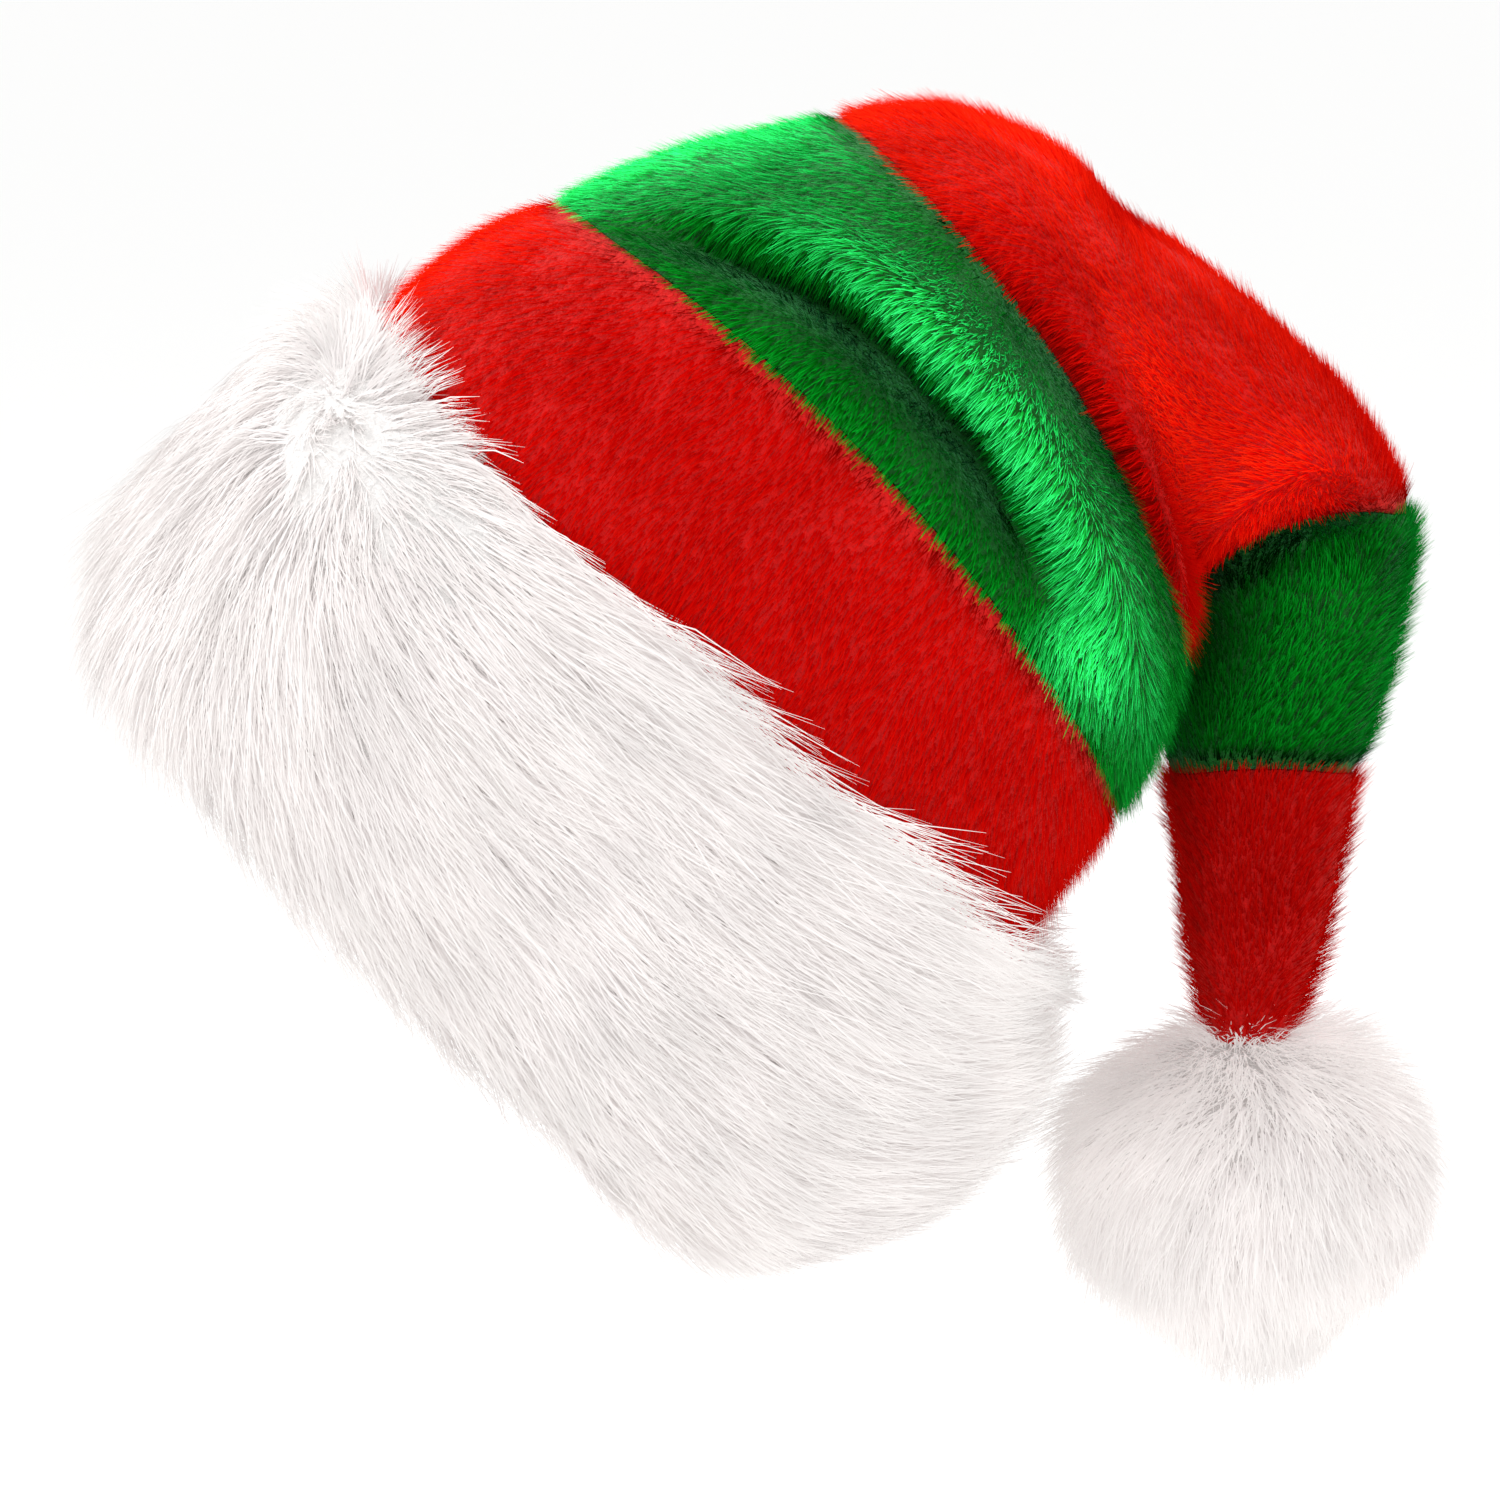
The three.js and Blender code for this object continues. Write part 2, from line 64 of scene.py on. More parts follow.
# Crown sections: left and right edge as shares of headWidth and height, then depth, bow and slump
edge = 0.5 + crown["wall"] / crown["headWidth"]
cuffTop = crown["cuffHeight"] / crown["height"]
rimDepth = (crown["headDepth"] + 2 * crown["wall"]) / crown["depth"]
crownRows = [
    ((-edge, 0), (edge, 0), rimDepth, 0, 0),
    ((-0.55, cuffTop / 2), (0.565, cuffTop / 2), 0.95, 0, 0),
    ((-0.598, cuffTop), (0.53, cuffTop), 0.99, 0, 0),
    ((-0.593, 0.64), (0.515, 0.626), 1.0, 0.055, 0),
    ((-0.548, 0.76), (0.495, 0.731), 0.98, 0.093, 0),
    ((-0.507, 0.869), (0.475, 0.8), 0.94, 0.1, 0),
    ((-0.444, 0.977), (0.44, 0.868), 0.9, 0.09, 0),
    ((-0.374, 1.087), (0.403, 0.929), 0.83, 0.075, 0),
    ((-0.29, 1.187), (0.37, 0.965), 0.77, 0.05, 0.01),
    ((-0.177, 1.24), (0.347, 0.982), 0.72, 0.02, 0.02),
    ((-0.059, 1.268), (0.336, 0.993), 0.67, 0, 0.02),
    ((0.119, 1.284), (0.334, 1.002), 0.62, -0.02, 0.02),
    ((0.344, 1.294), (0.34, 1.006), 0.55, -0.04, 0.01),
]
# Tail sections: left, drop, width, rise, depth, bow and slump, as shares of the tail's sizes
tailRows = [
    (0.06, 0.026, 1.154, 0.128, 0.84, -0.075, 0),
    (0.048, 0.121, 1.133, 0.069, 0.64, -0.03, 0),
    (-0.037, 0.258, 1.122, 0.045, 0.58, -0.02, 0),
    (-0.069, 0.42, 1.005, 0, 0.5, -0.028, 0),
    (0, 0.6, 0.846, 0, 0.45, 0, 0),
    (0.053, 0.762, 0.697, 0, 0.39, 0, 0),
    (0.154, 0.952, 0.441, 0, 0.28, 0, 0),
]
# Folds: rows at start, middle and end, angles from and to, depth, width in rows, share that fades out
folds = [
    ((4.15, 5.1, 4.6), 16, 124, 0.075, 0.36, 0.3),
    ((5.0, 6.0, 4.7), 20, 165, -0.035, 0.55, 0.4),
    ((6.95, 7.1, 7.05), 45, 172, 0.06, 0.36, 0.5),
    ((10, 10, 10), -48, 48, 0.03, 0.5, 0.5),
    ((12.3, 12.3, 12.3), 20, 150, -0.03, 0.5, 0.4),
    ((13.3, 13.35, 13.4), 25, 140, 0.03, 0.35, 0.4),
    ((5.0, 5.4, 5.9), 205, 330, 0.05, 0.5, 0.4),
    ((7.7, 7.9, 7.6), 195, 320, 0.045, 0.5, 0.4),
]
cuffTopRow, firstGreenRow, secondRedRow, tailRow, lastRedRow, lastRow = 2, 4, 7, 13, 16, 19


def unit(v):
    return v / np.maximum(np.linalg.norm(v, axis=-1, keepdims=True), 1e-12)


def smooth(t):
    t = np.clip(t, 0, 1)
    return t * t * (3 - 2 * t)


def hump(t):  # 1 at 0, falling off on both sides
    return np.exp(-(t**2))


def splineOf(points):  # centripetal curve, even in its points' numbers
    points = np.asarray(points, float)
    before, after = 2 * points[0] - points[1], 2 * points[-1] - points[-2]
    padded = np.vstack([before, points, after])
    leastGap = 1e-4

    def at(share):
        place = np.clip(share, 0, 1) * (len(points) - 1)
        i = np.minimum(place.astype(int), len(points) - 2)
        w = (place - i)[..., None]
        p0, p1, p2, p3 = (padded[i + k] for k in range(4))
        d0, d1, d2 = (
            np.sqrt(np.linalg.norm(b - a, axis=-1, keepdims=True)) for a, b in ((p0, p1), (p1, p2), (p2, p3))
        )
        d1 = np.where(d1 < leastGap, 1, d1)
        d0 = np.where(d0 < leastGap, d1, d0)
        d2 = np.where(d2 < leastGap, d1, d2)
        t1 = ((p1 - p0) / d0 - (p2 - p0) / (d0 + d1) + (p2 - p1) / d1) * d1
        t2 = ((p2 - p1) / d1 - (p3 - p1) / (d1 + d2) + (p3 - p2) / d2) * d1
        return p1 + w * (t1 + w * (3 * (p2 - p1) - 2 * t1 - t2 + w * (2 * (p1 - p2) + t1 + t2)))

    return at


crease = across * crown["creaseOffset"] + axis * crown["height"]
outerPoints, innerPoints, shapePoints = [], [], []
for outer, inner, depth, bow, slump in crownRows:
    outerPoints.append(across * outer[0] * crown["headWidth"] + axis * outer[1] * crown["height"])
    innerPoints.append(across * inner[0] * crown["headWidth"] + axis * inner[1] * crown["height"])
    shapePoints.append((depth * crown["depth"] / 2, bow * crown["height"], slump * crown["height"]))
for left, drop, width, rise, depth, bow, slump in tailRows:
    innerPoints.append(crease + right * left * tail["width"] + down * drop * tail["drop"])
    outerPoints.append(innerPoints[-1] + right * width * tail["width"] - down * rise * tail["drop"])
    shapePoints.append((depth * tail["depth"], bow * tail["drop"], slump * tail["drop"]))
outerEdge = splineOf(np.array(outerPoints) / mm)  # in millimetres, as the curve's spacing rule needs
innerEdge = splineOf(np.array(innerPoints) / mm)
shapeCurve = splineOf(np.array(shapePoints) / mm)


def foldDepth(row, degrees):
    pressed = np.zeros(np.broadcast(row, degrees).shape)
    for at, start, end, depth, width, fade in folds:
        share = ((degrees - start) % 360) / (end - start)
        rest = 1 - share
        middle = at[0] * rest * (1 - 2 * share) + at[1] * 4 * share * rest + at[2] * share * (2 * share - 1)
        strength = smooth(share / fade) * smooth(rest / fade)
        pressed = pressed + depth * crown["depth"] * strength * hump((row - middle) / width)
    return pressed


def clothPoint(row, degrees):
    row, degrees = np.broadcast_arrays(np.asarray(row, float), np.asarray(degrees, float))
    share = row / lastRow
    outer, inner, shape = outerEdge(share) * mm, innerEdge(share) * mm, shapeCurve(share) * mm
    angle = np.radians(degrees)[..., None]
    half = np.linalg.norm(outer - inner, axis=-1, keepdims=True) / 2
    outward = unit(outer - inner)
    onward = unit(np.cross(outward, front))
    frontness = np.maximum(0, np.sin(angle)) ** crown["frontPower"]
    flatness = crown["frontFlatness"]
    frontShare = (np.sin(angle) + flatness * np.sin(3 * angle)) / (1 - flatness)
    radial = outward * np.cos(angle) + front * np.sin(angle)
    return (
        (outer + inner) / 2
        + outward * (half * np.cos(angle) - shape[..., 2:3] * frontness)
        + front * shape[..., 0:1] * frontShare
        + onward * shape[..., 1:2] * frontness
        - radial * foldDepth(row, degrees % 360)[..., None]
    )


def clothDirections(row, degrees):  # up along the cloth, and out of it
    step = 0.02  # rows
    above = clothPoint(np.minimum(row + step, lastRow), degrees)
    up = unit(above - clothPoint(np.maximum(row - step, 0), degrees))
    around = unit(clothPoint(row, degrees + 1) - clothPoint(row, degrees - 1))
    return up, -unit(np.cross(up, around))


def meshObject(name, points, faces, materials=(), faceMaterial=None):
    mesh = bpy.data.meshes.new(name)
    mesh.from_pydata([tuple(p) for p in points], [], faces)
    for material in materials:
        mesh.materials.append(material)
    if faceMaterial is not None:
        mesh.polygons.foreach_set("material_index", faceMaterial)
    mesh.polygons.foreach_set("use_smooth", [True] * len(mesh.polygons))
    mesh.update()
    made = bpy.data.objects.new(name, mesh)
    bpy.context.scene.collection.objects.link(made)
    return made


def ringFaces(ringCount, steps, closed):
    faces = []
    for ring in range(ringCount if closed else ringCount - 1):
        a, b = ring * steps, ((ring + 1) % ringCount) * steps
        faces += [(a + s, a + (s + 1) % steps, b + (s + 1) % steps, b + s) for s in range(steps)]
    return faces


def poleFaces(ringCount, steps):  # fans that close the first and last ring, with the poles after the rings
    pole = ringCount * steps
    last = pole - steps
    faces = [(pole, (s + 1) % steps, s) for s in range(steps)]
    return faces + [(pole + 1, last + s, last + (s + 1) % steps) for s in range(steps)]


def facingOut(points, faces):
    points = np.asarray(points)
    volume = 0
    for face in faces:
        for k in range(1, len(face) - 1):
            volume += float(np.dot(points[face[0]], np.cross(points[face[k]], points[face[k + 1]])))
    return faces if volume > 0 else [tuple(reversed(face)) for face in faces]


# Node trees


def addNode(tree, kind, inputs=None, **settings):
    made = tree.nodes.new(kind)
    for name, value in settings.items():
        setattr(made, name, value)
    for name, value in (inputs or {}).items():
        if isinstance(value, bpy.types.NodeSocket):
            tree.links.new(value, made.inputs[name])
        else:
            made.inputs[name].default_value = value
    return made


def number(tree, operation, *values):
    return addNode(tree, "ShaderNodeMath", dict(enumerate(values)), operation=operation).outputs[0]


def arrow(tree, operation, *values, scale=None):
    inputs = dict(enumerate(values))
    if scale is not None:
        inputs["Scale"] = scale
    made = addNode(tree, "ShaderNodeVectorMath", inputs, operation=operation)
    return made.outputs["Value" if operation in ("DOT_PRODUCT", "LENGTH") else "Vector"]


# Every strand: shares of the Length and Width that a piece gives, and powers along the strand
strandForm = {
    "shortest": 0.7, "lengthSpread": 0.6,
    "narrowest": 0.65, "widthSpread": 0.7,
    "taper": 0.86, "taperPower": 1.4,  # how much of the width is gone at the tip, and how late
    "gatherPower": 0.8,  # how early the strands of a lock draw together
    "waveTurn": 3.5, "waveStart": 6.28,  # radians that a wave turns, and that its start is spread over
    "flowDetail": 1.5,
}
strandInputs = (
    "Density", "Length", "Width", "Sink", "Rise", "Fall", "Flow Scatter", "Flow Scale",
    "Stray", "Clump", "Clump Scale", "Sway", "Tilt",
)


def makeStrandTree():
    tree = bpy.data.node_groups.new("furStrands", "GeometryNodeTree")
    sockets = tree.interface
    sockets.new_socket("Geometry", in_out="INPUT", socket_type="NodeSocketGeometry")
    for name in strandInputs:
        sockets.new_socket(name, in_out="INPUT", socket_type="NodeSocketFloat")
    sockets.new_socket("Steps", in_out="INPUT", socket_type="NodeSocketInt")
    sockets.new_socket("Seed", in_out="INPUT", socket_type="NodeSocketInt")
    sockets.new_socket("Material", in_out="INPUT", socket_type="NodeSocketMaterial")
    sockets.new_socket("Geometry", in_out="OUTPUT", socket_type="NodeSocketGeometry")
    given = tree.nodes.new("NodeGroupInput").outputs

    def add(kind, inputs=None, **settings):
        return addNode(tree, kind, inputs, **settings)

    def store(geometry, name, kind, value):
        inputs = {"Name": name, "Geometry": geometry, "Value": value}
        return add("GeometryNodeStoreNamedAttribute", inputs, data_type=kind, domain="POINT").outputs[0]

    def read(name, kind):
        return add("GeometryNodeInputNamedAttribute", {"Name": name}, data_type=kind).outputs["Attribute"]

    def chance(low, high, salt, kind="FLOAT"):
        made = add("FunctionNodeRandomValue", data_type=kind)
        for name, value in (("Min", low), ("Max", high)):
            [s for s in made.inputs if s.name == name and s.enabled][0].default_value = value
        tree.links.new(number(tree, "ADD", given["Seed"], salt), made.inputs["Seed"])
        return [s for s in made.outputs if s.enabled][0]

    def moved(place, direction, amount):
        return arrow(tree, "ADD", place, arrow(tree, "SCALE", direction, scale=amount))

    # A point for each strand, with its own chances, and a flat strip on each point
    scatter = {"Mesh": given["Geometry"], "Density": given["Density"], "Seed": given["Seed"]}
    scattered = add("GeometryNodeDistributePointsOnFaces", scatter)
    here = tree.nodes.new("GeometryNodeInputPosition").outputs[0]
    points = store(scattered.outputs["Points"], "rootNormal", "FLOAT_VECTOR", scattered.outputs["Normal"])
    points = store(points, "root", "FLOAT_VECTOR", here)
    points = store(points, "chance", "FLOAT_VECTOR", chance((0, 0, 0), (1, 1, 1), 1, "FLOAT_VECTOR"))
    points = store(points, "tone", "FLOAT", chance(0, 1, 2))
    points = store(points, "strayed", "FLOAT_VECTOR", chance((-1, -1, -1), (1, 1, 1), 3, "FLOAT_VECTOR"))
    strip = {"Size X": 1.0, "Size Y": 1.0, "Vertices X": 2, "Vertices Y": given["Steps"]}
    blade = add("GeometryNodeMeshGrid", strip)
    blades = add("GeometryNodeInstanceOnPoints", {"Points": points, "Instance": blade.outputs["Mesh"]})
    plain = add("GeometryNodeRealizeInstances", {"Geometry": blades.outputs[0]}).outputs[0]
    root = read("root", "FLOAT_VECTOR")
    normal = arrow(tree, "NORMALIZE", read("rootNormal", "FLOAT_VECTOR"))
    luck = add("ShaderNodeSeparateXYZ", {0: read("chance", "FLOAT_VECTOR")}).outputs
    local = add("ShaderNodeSeparateXYZ", {0: arrow(tree, "SUBTRACT", here, root)}).outputs
    plain = store(plain, "along", "FLOAT", number(tree, "ADD", local[1], 0.5))
    plain = store(plain, "beside", "FLOAT", local[0])
    along, beside = read("along", "FLOAT"), read("beside", "FLOAT")

    # The strand runs along the comb, scattered in patches and one by one, and rises from the cloth
    flowNoise = {"Vector": root, "Scale": given["Flow Scale"], "Detail": strandForm["flowDetail"]}
    noise = add("ShaderNodeTexNoise", flowNoise, noise_dimensions="3D")
    flow = arrow(tree, "SUBTRACT", noise.outputs["Color"], (0.5, 0.5, 0.5))
    combed = read("comb", "FLOAT_VECTOR")
    comb = moved(arrow(tree, "NORMALIZE", combed), flow, given["Flow Scatter"])
    comb = moved(comb, read("strayed", "FLOAT_VECTOR"), given["Stray"])
    own = number(tree, "MULTIPLY_ADD", luck[0], strandForm["lengthSpread"], strandForm["shortest"])
    length = number(tree, "MULTIPLY", given["Length"], own)
    length = number(tree, "MULTIPLY", length, arrow(tree, "LENGTH", combed))
    reach = number(tree, "MULTIPLY", length, along)
    climb = number(tree, "SUBTRACT", given["Rise"], number(tree, "MULTIPLY", given["Fall"], along))
    place = arrow(tree, "SUBTRACT", root, arrow(tree, "SCALE", normal, scale=given["Sink"]))
    place = moved(place, comb, reach)
    place = moved(place, normal, number(tree, "MULTIPLY", reach, climb))

    # Tips gather to the middle of their lock
    cells = {"Vector": root, "Scale": given["Clump Scale"]}
    cell = add("ShaderNodeTexVoronoi", cells, voronoi_dimensions="3D")
    gather = arrow(tree, "SUBTRACT", cell.outputs["Position"], root)
    lifted = arrow(tree, "SCALE", normal, scale=arrow(tree, "DOT_PRODUCT", gather, normal))
    gather = arrow(tree, "SUBTRACT", gather, lifted)
    late = number(tree, "POWER", along, strandForm["gatherPower"])
    place = moved(place, gather, number(tree, "MULTIPLY", given["Clump"], late))

    # Waves to the side, a turn about its own length, and a width that tapers to the tip
    side = arrow(tree, "NORMALIZE", arrow(tree, "CROSS_PRODUCT", normal, comb))
    wave = number(tree, "MULTIPLY", along, strandForm["waveTurn"])
    phase = number(tree, "MULTIPLY_ADD", luck[1], strandForm["waveStart"], wave)
    swing = number(tree, "MULTIPLY", number(tree, "SINE", phase), given["Sway"])
    place = moved(place, side, number(tree, "MULTIPLY", swing, reach))
    turn = number(tree, "MULTIPLY", number(tree, "SUBTRACT", luck[2], 0.5), given["Tilt"])
    flat = arrow(tree, "SCALE", side, scale=number(tree, "COSINE", turn))
    flat = moved(flat, normal, number(tree, "SINE", turn))
    late = number(tree, "POWER", along, strandForm["taperPower"])
    taper = number(tree, "MULTIPLY_ADD", late, -strandForm["taper"], 1.0)
    own = number(
        tree, "MULTIPLY_ADD", read("tone", "FLOAT"), strandForm["widthSpread"], strandForm["narrowest"]
    )
    breadth = number(tree, "MULTIPLY", number(tree, "MULTIPLY", given["Width"], taper), own)
    place = moved(place, flat, number(tree, "MULTIPLY", breadth, beside))

    shaped = add("GeometryNodeSetPosition", {"Geometry": plain, "Position": place})
    whole = add("GeometryNodeRealizeInstances", {"Geometry": shaped.outputs[0]})
    dressing = {"Geometry": whole.outputs[0], "Material": given["Material"]}
    dressed = add("GeometryNodeSetMaterial", dressing)
    tree.links.new(dressed.outputs[0], tree.nodes.new("NodeGroupOutput").inputs[0])
    return tree


strandTree = makeStrandTree()


def growStrands(carrier, count, material, settings):  # turns the carrier into strands
    area = sum(p.area for p in carrier.data.polygons)
    modifier = carrier.modifiers.new("strands", "NODES")
    modifier.node_group = strandTree
    values = dict(settings, Density=count / area, Material=material)
    for item in strandTree.interface.items_tree:
        if item.in_out == "INPUT" and item.name in values:
            modifier[item.identifier] = values[item.name]
    graph = bpy.context.evaluated_depsgraph_get()
    ready = carrier.evaluated_get(graph)
    grown = bpy.data.meshes.new_from_object(ready, preserve_all_data_layers=True, depsgraph=graph)
    carrier.modifiers.remove(modifier)
    carrier.data = grown
    grown.name = carrier.name
    grown.materials.clear()
    grown.materials.append(material)
    for extra in ("root", "comb", "strayed", "chance", "beside"):
        if extra in grown.attributes:
            grown.attributes.remove(grown.attributes[extra])
    grown.polygons.foreach_set("use_smooth", [True] * len(grown.polygons))
    print(carrier.name, sum(len(p.vertices) - 2 for p in grown.polygons), "triangles")


def setComb(carrier, vectors):  # a vector's length scales the strand's
    layer = carrier.data.attributes.new("comb", "FLOAT_VECTOR", "POINT")
    layer.data.foreach_set("vector", np.asarray(vectors, float).reshape(-1))


# Stores the painted shade that the pile's colour reads: above 0 painted shade, below 0 a painted highlight
def setPaintedShade(piece, values):
    layer = piece.data.attributes.new("paintedShade", "FLOAT", "POINT")
    layer.data.foreach_set("value", np.asarray(values, float).reshape(-1))


# Materials

white = (1, 1, 1, 1)


def newGroup(name, inputs, outputs):
    tree = bpy.data.node_groups.new(name, "ShaderNodeTree")
    for label, value in inputs.items():
        kind = "NodeSocketColor" if isinstance(value, tuple) else "NodeSocketFloat"
        tree.interface.new_socket(label, in_out="INPUT", socket_type=kind).default_value = value
    for label, kind in outputs.items():
        tree.interface.new_socket(label, in_out="OUTPUT", socket_type=kind)
    return tree, tree.nodes.new("NodeGroupInput").outputs, tree.nodes.new("NodeGroupOutput").inputs


def placeGroup(tree, group, values):
    made = tree.nodes.new("ShaderNodeGroup")
    made.node_tree = group
    for name, value in values.items():
        made.inputs[name].default_value = (*value, 1) if isinstance(value, tuple) else value
    return made.outputs


def blend(tree, share, first, second):  # the node clamps the share
    return addNode(tree, "ShaderNodeMix", {0: share, 6: first, 7: second}, data_type="RGBA").outputs[2]


def readLayer(tree, name, output="Fac"):
    return addNode(tree, "ShaderNodeAttribute", attribute_name=name).outputs[output]


def noiseOver(tree, scale, detail):  # a pattern fixed to the hat
    place = tree.nodes.new("ShaderNodeTexCoord").outputs["Object"]
    inputs = {"Vector": place, "Scale": scale, "Detail": detail}
    return addNode(tree, "ShaderNodeTexNoise", inputs).outputs["Fac"]


# The strand's colour along its length, with painted shade in valleys and painted highlights on rolls
def makeStrandColour():
    middlePlace = 0.45  # along the strand
    shadeReach = 0.6  # the painted shade value at which a valley's painted shade or a roll's painted highlight is full
    inputs = {
        "Root": white, "Middle": white, "Tip": white, "Spread": 0.1, "Patch Scale": 30.0, "Patch Depth": 0.3,
        "Painted Shade": 1.0, "Painted Highlight": white,
    }
    tree, given, result = newGroup("strandColour", inputs, {"Colour": "NodeSocketColor"})
    along, tone, paintedShade = (readLayer(tree, name) for name in ("along", "tone", "paintedShade"))
    colour = blend(tree, number(tree, "DIVIDE", along, middlePlace), given["Root"], given["Middle"])
    past = number(tree, "SUBTRACT", along, middlePlace)
    colour = blend(tree, number(tree, "DIVIDE", past, 1 - middlePlace), colour, given["Tip"])
    shade = number(tree, "MULTIPLY_ADD", number(tree, "SUBTRACT", tone, 0.5), given["Spread"], 1.0)
    patch = number(tree, "SUBTRACT", noiseOver(tree, given["Patch Scale"], detail=2.0), 0.5)
    patch = number(tree, "MULTIPLY_ADD", patch, given["Patch Depth"], 1.0)
    colour = arrow(tree, "SCALE", colour, scale=number(tree, "MULTIPLY", shade, patch))
    pressed = number(tree, "DIVIDE", paintedShade, shadeReach)
    # Painted highlight on a roll, painted shade in a valley
    paintedLight = blend(tree, number(tree, "ADD", pressed, 1.0), given["Painted Highlight"], white)
    paintedLight = blend(tree, pressed, paintedLight, given["Painted Shade"])
    tree.links.new(arrow(tree, "MULTIPLY", colour, paintedLight), result["Colour"])
    return tree


def makeStrandNormal():  # mostly the cloth's own normal where the strand faces its way
    inputs = {"Gain": 2.5, "Most": 0.88}
    tree, given, result = newGroup("strandNormal", inputs, {"Normal": "NodeSocketVector"})
    smoothed = readLayer(tree, "rootNormal", "Vector")
    own = tree.nodes.new("ShaderNodeNewGeometry").outputs["Normal"]
    facing = number(tree, "MULTIPLY", arrow(tree, "DOT_PRODUCT", smoothed, own), given["Gain"])
    share = number(tree, "MINIMUM", number(tree, "MAXIMUM", facing, 0.0), given["Most"])
    rest = arrow(tree, "SCALE", own, scale=number(tree, "SUBTRACT", 1.0, share))
    both = arrow(tree, "ADD", arrow(tree, "SCALE", smoothed, scale=share), rest)
    tree.links.new(arrow(tree, "NORMALIZE", both), result["Normal"])
    return tree


def makeGrain():
    darkest, span = 0.3, 0.4  # the noise values between which the two colours blend
    inputs = {"Dark": white, "Light": white, "Scale": 900.0}
    outputs = {"Colour": "NodeSocketColor", "Height": "NodeSocketFloat"}
    tree, given, result = newGroup("clothGrain", inputs, outputs)
    noise = noiseOver(tree, given["Scale"], detail=3.0)
    share = number(tree, "DIVIDE", number(tree, "SUBTRACT", noise, darkest), span)
    tree.links.new(blend(tree, share, given["Dark"], given["Light"]), result["Colour"])
    tree.links.new(noise, result["Height"])
    return tree


strandColour, strandNormal, clothGrain = makeStrandColour(), makeStrandNormal(), makeGrain()


def newMaterial(name, roughness, sheen, sheenTint, specular=0.3):
    material = bpy.data.materials.new(name)
    material.use_nodes = True
    shader = material.node_tree.nodes["Principled BSDF"]
    shader.inputs["Roughness"].default_value = roughness
    shader.inputs["Specular IOR Level"].default_value = specular
    shader.inputs["Sheen Weight"].default_value = sheen
    shader.inputs["Sheen Roughness"].default_value = 0.4
    shader.inputs["Sheen Tint"].default_value = (*sheenTint, 1)
    return material, material.node_tree, shader


def strandMaterial(name, look, roughness, sheen, sheenTint, paintedGlow):
    material, tree, shader = newMaterial(name, roughness, sheen, sheenTint, specular=0.0)
    shader.inputs["IOR"].default_value = 1.02  # hardly any shine
    shader.inputs["Emission Strength"].default_value = paintedGlow  # painted light: the strand glows, though it is no lamp, to lift the shade between strands
    colour = placeGroup(tree, strandColour, look)["Colour"]
    tree.links.new(colour, shader.inputs["Base Color"])
    tree.links.new(colour, shader.inputs["Emission Color"])
    tree.links.new(placeGroup(tree, strandNormal, {})["Normal"], shader.inputs["Normal"])
    material.cycles.use_bump_map_correction = False  # a strand is lit as if it were round
    return material


def clothMaterial(name, look, bumpDistance, roughness, sheen, sheenTint):
    material, tree, shader = newMaterial(name, roughness, sheen, sheenTint)
    grain = placeGroup(tree, clothGrain, look)
    tree.links.new(grain["Colour"], shader.inputs["Base Color"])
    bump = addNode(
        tree, "ShaderNodeBump", {"Strength": 0.7, "Distance": bumpDistance, "Height": grain["Height"]}
    )
    tree.links.new(bump.outputs[0], shader.inputs["Normal"])
    return material


# The cloth under the pile, and its knitted back
redBase = clothMaterial(
    "redPlushFoot", {"Dark": (0.5, 0.001, 0.001), "Light": (0.7, 0.002, 0.001), "Scale": 900},
    bumpDistance=0.002, roughness=0.85, sheen=0.3, sheenTint=(1, 0.1, 0.05),
)
greenBase = clothMaterial(
    "greenPlushFoot", {"Dark": (0.0005, 0.06, 0.004), "Light": (0.001, 0.14, 0.01), "Scale": 900},
    bumpDistance=0.002, roughness=0.85, sheen=0.3, sheenTint=(0.2, 1, 0.4),
)
whiteBase = clothMaterial(
    "whiteFurFoot", {"Dark": (0.66, 0.64, 0.63), "Light": (0.74, 0.72, 0.71), "Scale": 500},
    bumpDistance=0.003, roughness=0.95, sheen=0.1, sheenTint=(1, 1, 1),
)
redBack = clothMaterial(
    "redKnitBack", {"Dark": (0.22, 0.006, 0.006), "Light": (0.34, 0.012, 0.01), "Scale": 1400},
    bumpDistance=0.0006, roughness=0.95, sheen=0.1, sheenTint=(1, 0.3, 0.3),
)
greenBack = clothMaterial(
    "greenKnitBack", {"Dark": (0.004, 0.05, 0.01), "Light": (0.01, 0.1, 0.02), "Scale": 1400},
    bumpDistance=0.0006, roughness=0.95, sheen=0.1, sheenTint=(0.4, 1, 0.5),
)

# The pile: painted shade in a fold's valley, and a painted highlight on its roll, where the tips catch the
# light
redLook = {
    "Root": (0.36, 0.0003, 0.0003), "Middle": (0.4, 0.0005, 0.0004), "Tip": (0.5, 0.004, 0.0015),
    "Spread": 0.15, "Patch Scale": 30, "Painted Shade": 0.35, "Painted Highlight": (1.9, 9.0, 4.0),
}
greenLook = {
    "Root": (0.0002, 0.05, 0.0012), "Middle": (0.0003, 0.11, 0.003), "Tip": (0.0015, 0.29, 0.016),
    "Spread": 0.6, "Patch Scale": 30, "Painted Shade": 0.04, "Painted Highlight": (34.0, 4.6, 20.0),
}
whiteLook = {
    "Root": (0.565, 0.535, 0.53), "Middle": (0.59, 0.56, 0.552), "Tip": (0.6, 0.58, 0.568),
    "Spread": 0.06, "Patch Scale": 40,
}
redPile = strandMaterial("redPile", redLook, roughness=0.9, sheen=0.05, sheenTint=(1, 0.1, 0.03), paintedGlow=0.35)
greenPile = strandMaterial(
    "greenPile", greenLook, roughness=0.7, sheen=0.15, sheenTint=(0.1, 1, 0.35), paintedGlow=0.2
)
